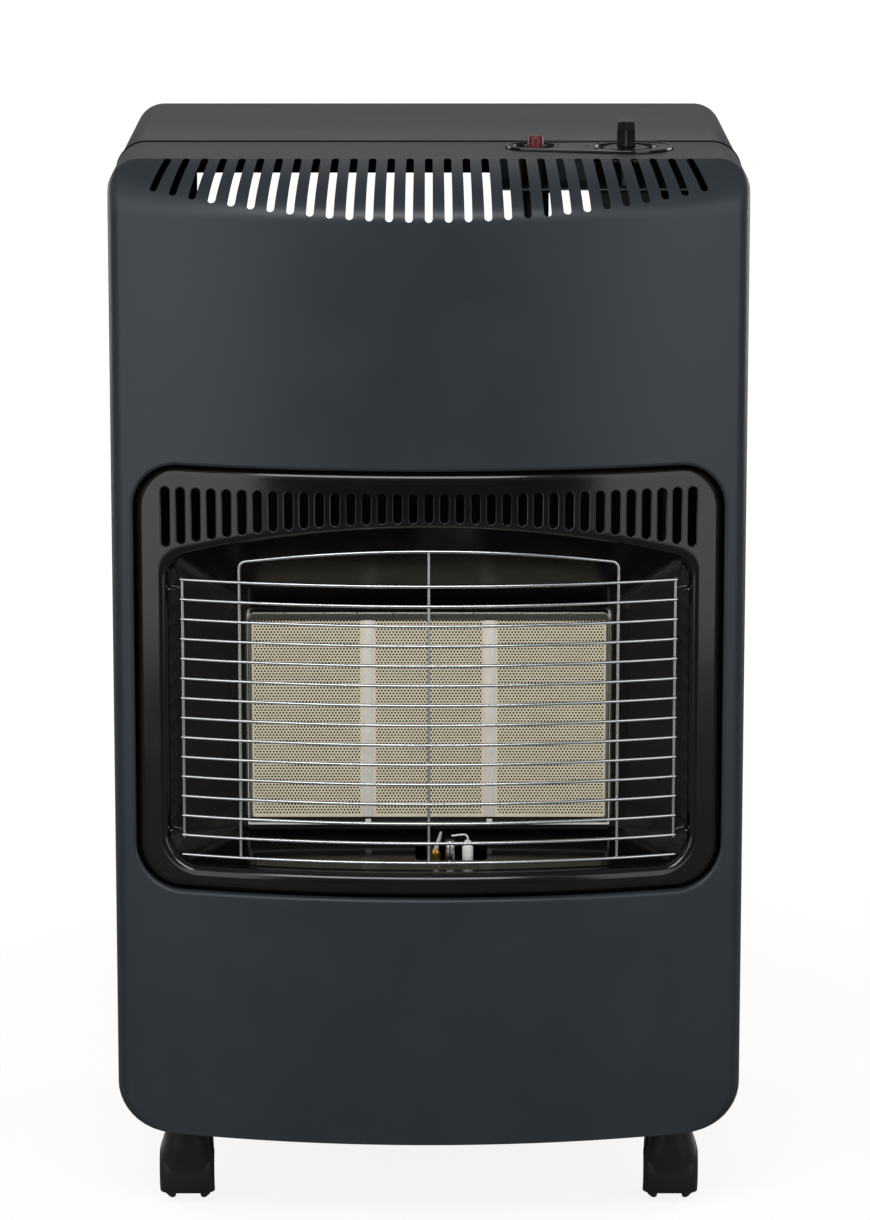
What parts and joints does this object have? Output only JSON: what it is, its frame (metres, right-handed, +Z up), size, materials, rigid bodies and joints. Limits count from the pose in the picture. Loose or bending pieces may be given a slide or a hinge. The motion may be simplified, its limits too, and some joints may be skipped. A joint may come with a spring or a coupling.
{
  "type": "portable gas cabinet heater",
  "caption": "Portable gas cabinet heater on swivel casters, with a bowed front, an arched radiant window behind a wire guard, and a knob and igniter button on top.",
  "frame": {"origin": "on the floor, under the centre of the cabinet's bounding box", "axes": "+Z up, -Y out of the heated front, +X to the right seen from the front, where the knob is"},
  "size_m": [0.42, 0.4, 0.74],
  "materials": {
    "powder_coated_steel": "satin charcoal powder coat",
    "gloss_black_enamel": "gloss",
    "chromed_wire": "polished",
    "stainless_steel": "brushed",
    "porous_ceramic": "matte, finely perforated",
    "fibre_gasket": "matte ceramic fibre",
    "aluminised_steel": "dull",
    "zinc_plated_steel": "satin",
    "cast_aluminium": "as cast",
    "brass": "satin",
    "electrode_porcelain": "glazed",
    "gloss_black_plastic": "gloss",
    "matte_black_plastic": "satin",
    "red_plastic": "gloss",
    "wheel_rubber": "matte"
  },
  "bodies": {
    "heater": {"front_panel": "powder_coated_steel", "window_bezel": "gloss_black_enamel", "reflector_surround": "gloss_black_enamel", "wire_guard": "chromed_wire", "burner_frame": "stainless_steel", "ceramic_plaque_1": "porous_ceramic", "ceramic_plaque_2": "porous_ceramic", "ceramic_plaque_3": "porous_ceramic", "plaque_gasket": "fibre_gasket", "burner_plenum": "aluminised_steel", "venturi_tube_1": "aluminised_steel", "venturi_tube_2": "aluminised_steel", "venturi_tube_3": "aluminised_steel", "injector_1": "brass", "injector_2": "brass", "injector_3": "brass", "gas_manifold": "zinc_plated_steel", "feed_pipe": "zinc_plated_steel", "pilot_bracket": "zinc_plated_steel", "pilot_burner": "chromed_wire", "thermocouple": "brass", "ignition_electrode": "electrode_porcelain", "thermocouple_lead": "brass", "pilot_tube": "aluminised_steel", "ignition_lead": "red_plastic", "control_escutcheon": "gloss_black_plastic", "valve_body": "cast_aluminium", "control_bracket": "zinc_plated_steel", "igniter_body": "matte_black_plastic", "inlet_pipe": "zinc_plated_steel", "hose_nozzle": "brass", "cabinet_wrap": "powder_coated_steel", "rear_frame": "powder_coated_steel", "base_tray": "powder_coated_steel", "heat_shield": "aluminised_steel"},
    "rear_door": {"rear_cover": "powder_coated_steel"},
    "gas_valve": {"valve_plug": "brass"},
    "knob": {"control_knob": "gloss_black_plastic", "control_spindle": "zinc_plated_steel"},
    "button": {"igniter_button": "red_plastic"},
    "caster_front_left": {"caster_hood_front_left": "matte_black_plastic", "caster_stem_front_left": "zinc_plated_steel", "caster_axle_front_left": "zinc_plated_steel"},
    "caster_front_right": {"caster_hood_front_right": "matte_black_plastic", "caster_stem_front_right": "zinc_plated_steel", "caster_axle_front_right": "zinc_plated_steel"},
    "caster_rear_left": {"caster_hood_rear_left": "matte_black_plastic", "caster_stem_rear_left": "zinc_plated_steel", "caster_axle_rear_left": "zinc_plated_steel"},
    "caster_rear_right": {"caster_hood_rear_right": "matte_black_plastic", "caster_stem_rear_right": "zinc_plated_steel", "caster_axle_rear_right": "zinc_plated_steel"},
    "wheel_front_left_left": {"caster_wheel_front_left_left": "wheel_rubber"},
    "wheel_front_left_right": {"caster_wheel_front_left_right": "wheel_rubber"},
    "wheel_front_right_left": {"caster_wheel_front_right_left": "wheel_rubber"},
    "wheel_front_right_right": {"caster_wheel_front_right_right": "wheel_rubber"},
    "wheel_rear_left_left": {"caster_wheel_rear_left_left": "wheel_rubber"},
    "wheel_rear_left_right": {"caster_wheel_rear_left_right": "wheel_rubber"},
    "wheel_rear_right_left": {"caster_wheel_rear_right_left": "wheel_rubber"},
    "wheel_rear_right_right": {"caster_wheel_rear_right_right": "wheel_rubber"}
  },
  "joints": [
    {"name": "rear_cover_tilt", "type": "hinge", "parent": "heater", "child": "rear_door", "pos_m": [0, 0.2, 0.0698], "axis": [-1, 0, 0], "range_deg": [0, 40]},
    {"name": "gas_valve_turn", "type": "hinge", "parent": "heater", "child": "gas_valve", "pos_m": [0.131, -0.085, 0.67], "axis": [0, 0, 1], "range_deg": [0, 210]},
    {"name": "knob_press", "type": "slide", "parent": "gas_valve", "child": "knob", "axis": [0, 0, -1], "range_m": [0, 0.004], "stiffness_N_per_m": 1500, "springref_m": -0.004},
    {"name": "igniter_press", "type": "slide", "parent": "heater", "child": "button", "axis": [0, 0, -1], "range_m": [0, 0.006], "stiffness_N_per_m": 1200, "springref_m": -0.004},
    {"name": "caster_swivel_front_left", "type": "hinge", "parent": "heater", "child": "caster_front_left", "pos_m": [-0.165, -0.1355, 0.053], "axis": [0, 0, 1], "continuous": true},
    {"name": "caster_swivel_front_right", "type": "hinge", "parent": "heater", "child": "caster_front_right", "pos_m": [0.165, -0.1355, 0.053], "axis": [0, 0, 1], "continuous": true},
    {"name": "caster_swivel_rear_left", "type": "hinge", "parent": "heater", "child": "caster_rear_left", "pos_m": [-0.165, 0.145, 0.053], "axis": [0, 0, 1], "continuous": true},
    {"name": "caster_swivel_rear_right", "type": "hinge", "parent": "heater", "child": "caster_rear_right", "pos_m": [0.165, 0.145, 0.053], "axis": [0, 0, 1], "continuous": true},
    {"name": "wheel_spin_front_left_left", "type": "hinge", "parent": "caster_front_left", "child": "wheel_front_left_left", "pos_m": [-0.1782, -0.1155, 0.025], "axis": [1, 0, 0], "continuous": true},
    {"name": "wheel_spin_front_left_right", "type": "hinge", "parent": "caster_front_left", "child": "wheel_front_left_right", "pos_m": [-0.1518, -0.1155, 0.025], "axis": [1, 0, 0], "continuous": true},
    {"name": "wheel_spin_front_right_left", "type": "hinge", "parent": "caster_front_right", "child": "wheel_front_right_left", "pos_m": [0.1518, -0.1155, 0.025], "axis": [1, 0, 0], "continuous": true},
    {"name": "wheel_spin_front_right_right", "type": "hinge", "parent": "caster_front_right", "child": "wheel_front_right_right", "pos_m": [0.1782, -0.1155, 0.025], "axis": [1, 0, 0], "continuous": true},
    {"name": "wheel_spin_rear_left_left", "type": "hinge", "parent": "caster_rear_left", "child": "wheel_rear_left_left", "pos_m": [-0.1782, 0.165, 0.025], "axis": [1, 0, 0], "continuous": true},
    {"name": "wheel_spin_rear_left_right", "type": "hinge", "parent": "caster_rear_left", "child": "wheel_rear_left_right", "pos_m": [-0.1518, 0.165, 0.025], "axis": [1, 0, 0], "continuous": true},
    {"name": "wheel_spin_rear_right_left", "type": "hinge", "parent": "caster_rear_right", "child": "wheel_rear_right_left", "pos_m": [0.1518, 0.165, 0.025], "axis": [1, 0, 0], "continuous": true},
    {"name": "wheel_spin_rear_right_right", "type": "hinge", "parent": "caster_rear_right", "child": "wheel_rear_right_right", "pos_m": [0.1782, 0.165, 0.025], "axis": [1, 0, 0], "continuous": true}
  ]
}
